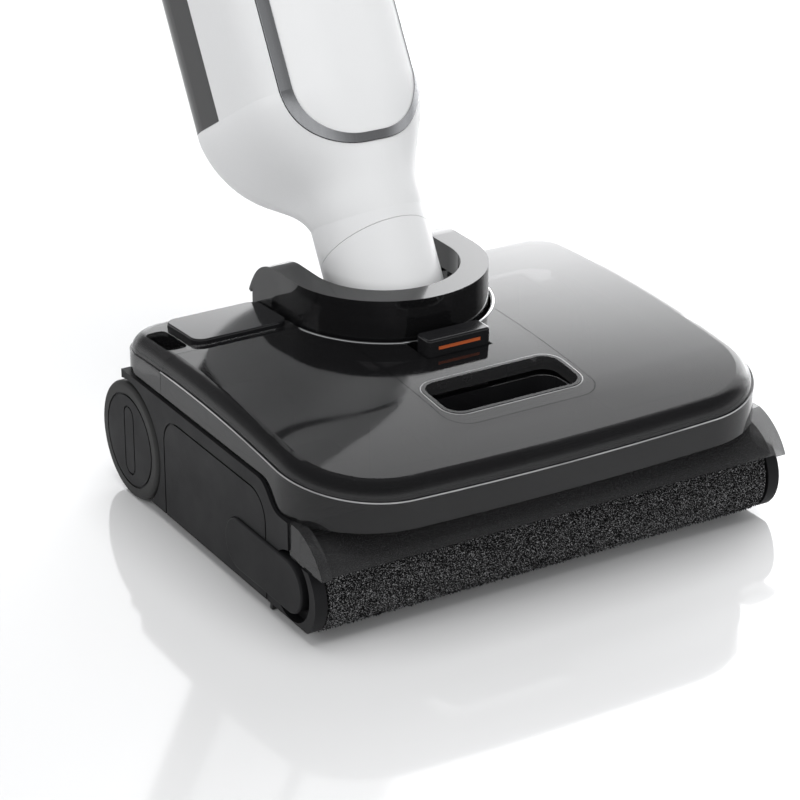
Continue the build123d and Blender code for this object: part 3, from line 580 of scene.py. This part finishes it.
for number in range(RIB_COUNT):
    rib = bmesh.ops.create_cube(mesh, size=1)["verts"]
    bmesh.ops.scale(mesh, verts=rib, vec=(RIB_WIDTH, cup_half.y * 2, RIB_HEIGHT))
    along = cup_half.x * (2 * number / (RIB_COUNT - 1) - 1) * RIB_SPAN
    bmesh.ops.translate(mesh, verts=rib, vec=(along, 0, RIB_HEIGHT / 2 - CUP_DEPTH))
bmesh.ops.translate(mesh, verts=mesh.verts, vec=(centre.x, centre.y, CUP_TOP))
settle(mesh, "window_cup", "cover", black_gloss, smooth=False)

# %% [markdown]
# ## Air outlet
# The suction motor sits in the top of the body and blows out backwards, so the body has a row of outlet
# louvres above the clean tank. The body leans back and its surface is curved, so each louvre is a flat strip
# laid onto the body by rays that run along the lean, and then given a thickness.

# %% Outlet louvres
LEAN = math.radians(30)
up_body = Vector((0, math.sin(LEAN), math.cos(LEAN)))
to_rear = Vector((0, math.cos(LEAN), -math.sin(LEAN)))
body_tree = BVHTree.FromObject(frame["nodes"]["body_shell"], graph)
tank_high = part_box("clean_tank")[1]
LOUVRE_COUNT, LOUVRE_PITCH = 6, 4.6 * MM
LOUVRE_HALF, LOUVRE_TALL, LOUVRE_THICK = 17 * MM, 1.9 * MM, 0.5 * MM
LOUVRE_SUNK, LOUVRE_TAPER = 0.3 * MM, 1.6 * MM
LOUVRE_RISE, CLEAR_OF_BODY = 24 * MM, 60 * MM
tank_top = Vector((0, tank_high.y, tank_high.z))
mesh = bmesh.new()
for number in range(LOUVRE_COUNT):
    half = LOUVRE_HALF - abs(number - (LOUVRE_COUNT - 1) / 2) * LOUVRE_TAPER
    strip = bmesh.ops.create_grid(mesh, x_segments=14, y_segments=1, size=1)["verts"]
    bmesh.ops.scale(mesh, verts=strip, vec=(half, LOUVRE_TALL / 2, 1))
    rise = LOUVRE_RISE + number * LOUVRE_PITCH
    for vert in strip:
        place = tank_top + up_body * (rise + vert.co.y) + to_rear * CLEAR_OF_BODY
        start = Vector((vert.co.x, place.y, place.z))
        spot = body_tree.ray_cast(start, -to_rear)[0]
        vert.co = spot + to_rear * LOUVRE_THICK
bmesh.ops.recalc_face_normals(mesh, faces=mesh.faces)
bmesh.ops.solidify(mesh, geom=mesh.faces[:], thickness=LOUVRE_THICK + LOUVRE_SUNK)
settle(mesh, "outlet_louvres", "upper_body", black_matte, smooth=False)

# %% [markdown]
# ## Roller fleece
# The roller wears a dense microfibre sleeve. Real hair would be far too heavy, so the sleeve is a tube
# of small faces, each raised to a random point. From a hand's width away that reads as cut pile, and the
# outline is ragged as it should be. The sleeve is made by spinning one line of points about the axis, and in
# two halves, so that neither mesh grows too large.

# %% Fleece helper
random.seed(11)
TUFT_PITCH, TUFT_LIFT, TUFT_SWAY = 1.35 * MM, 1.5 * MM, 0.5 * MM
AROUND = 108
SKIN_R = ROLLER_R - 1.7 * MM


def fleece(x0, x1, name):
    """Sleeve of pointed tufts between two places along the roller."""
    mesh = bmesh.new()
    rows = int((x1 - x0) / TUFT_PITCH * 1.1)
    line = [mesh.verts.new((x0 + (x1 - x0) * i / rows, roller.y, roller.z + SKIN_R)) for i in range(rows + 1)]
    edges = [mesh.edges.new(pair) for pair in zip(line, line[1:])]
    bmesh.ops.spin(
        mesh, geom=line + edges, cent=roller, axis=(1, 0, 0), angle=math.tau, steps=AROUND, use_merge=True,
        use_duplicate=False, dvec=(0, 0, 0), use_normal_flip=False,
    )
    bmesh.ops.recalc_face_normals(mesh, faces=mesh.faces)
    tips = bmesh.ops.poke(mesh, faces=mesh.faces[:], offset=0, center_mode="MEAN")["verts"]

    def cell(tip):
        turn = math.atan2(tip.co.z - roller.z, tip.co.y - roller.y) % math.tau
        return int((tip.co.x - x0) / (x1 - x0) * rows), int(turn / math.tau * AROUND)

    # The spin's merge leaves the faces in a different order each time, so the tips are sorted into rows and
    # steps round the roller before they are moved. Each tip then gets the same random numbers in every run.
    for tip in sorted(tips, key=cell):
        out = Vector((0, tip.co.y - roller.y, tip.co.z - roller.z)).normalized()
        lift = TUFT_LIFT * random.uniform(0.25, 1.0)
        sway = Vector((random.uniform(-1, 1), random.uniform(-1, 1), random.uniform(-1, 1))) * TUFT_SWAY
        tip.co += out * lift + sway
    rims = [edge for edge in mesh.edges if edge.is_boundary]
    bmesh.ops.contextual_create(mesh, geom=rims)
    return settle(mesh, name, "roller", fleece_finish, smooth=False)


# %% [markdown]
# The fibres are black, with light tips where a bundle catches the light. Fine noise with a steep ramp gives
# specks of a fibre bundle's size on nearly black pile.

# %% Fleece finish
fleece_finish, tree, shader = finish("roller_fleece", (0.02, 0.02, 0.021), 0.85, Specular_IOR_Level=0.15)
speckle = noise(tree, 1700.0, 1.0)
ramp = tree.nodes.new("ShaderNodeValToRGB")
ramp.color_ramp.elements[0].position, ramp.color_ramp.elements[0].color = 0.53, (0.002, 0.002, 0.0025, 1)
ramp.color_ramp.elements[1].position, ramp.color_ramp.elements[1].color = 0.66, (0.36, 0.36, 0.365, 1)
tree.links.new(speckle, ramp.inputs["Fac"])
tree.links.new(ramp.outputs["Color"], shader.inputs["Base Color"])

# %% Both halves of the fleece
left_fleece = fleece(pile_low.x, roller.x, "fleece_left")
right_fleece = fleece(roller.x, pile_high.x, "fleece_right")
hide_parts("roller_pile")
